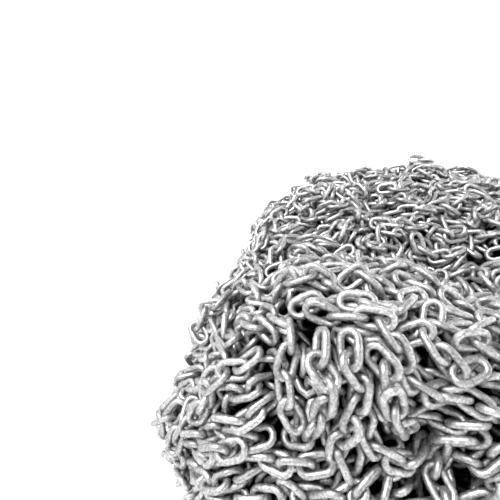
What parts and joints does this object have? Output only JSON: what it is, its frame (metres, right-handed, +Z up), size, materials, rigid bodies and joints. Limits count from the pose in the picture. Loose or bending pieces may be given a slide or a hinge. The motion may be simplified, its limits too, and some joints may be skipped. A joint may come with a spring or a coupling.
{
  "type": "heap of steel chain",
  "caption": "Free-standing heap of short-link galvanised steel chain, loose lengths lying over and across each other on a flat foot.",
  "frame": {"origin": "middle of the flat foot, on the floor that the heap lies on", "axes": "+Z up, +Y along the heap's longer side, away from the picture's side, +X to the right seen from there"},
  "size_m": [0.7563, 0.9804, 0.4066],
  "materials": {
    "galvanised_steel": "hot-dip zinc, mottled grey, dull on the sides and bright where it is rubbed",
    "hidden_chain": "the same zinc in deep shade between the links"
  },
  "bodies": {
    "root": {"heap_core": "hidden_chain", "chain_run_01": "galvanised_steel", "chain_run_02": "galvanised_steel", "chain_run_03": "galvanised_steel", "chain_run_04": "galvanised_steel", "chain_run_05": "galvanised_steel", "chain_run_06": "galvanised_steel", "chain_run_07": "galvanised_steel", "chain_run_08": "galvanised_steel", "chain_run_09": "galvanised_steel", "chain_run_10": "galvanised_steel", "chain_run_11": "galvanised_steel", "chain_run_12": "galvanised_steel", "chain_run_13": "galvanised_steel", "chain_run_14": "galvanised_steel", "chain_run_15": "galvanised_steel", "chain_run_16": "galvanised_steel", "chain_run_17": "galvanised_steel", "chain_run_18": "galvanised_steel", "chain_run_19": "galvanised_steel", "chain_run_20": "galvanised_steel", "chain_run_21": "galvanised_steel", "chain_run_22": "galvanised_steel", "chain_run_23": "galvanised_steel", "chain_run_24": "galvanised_steel", "chain_run_25": "galvanised_steel", "chain_run_26": "galvanised_steel", "chain_run_27": "galvanised_steel", "chain_run_28": "galvanised_steel"}
  },
  "joints": []
}
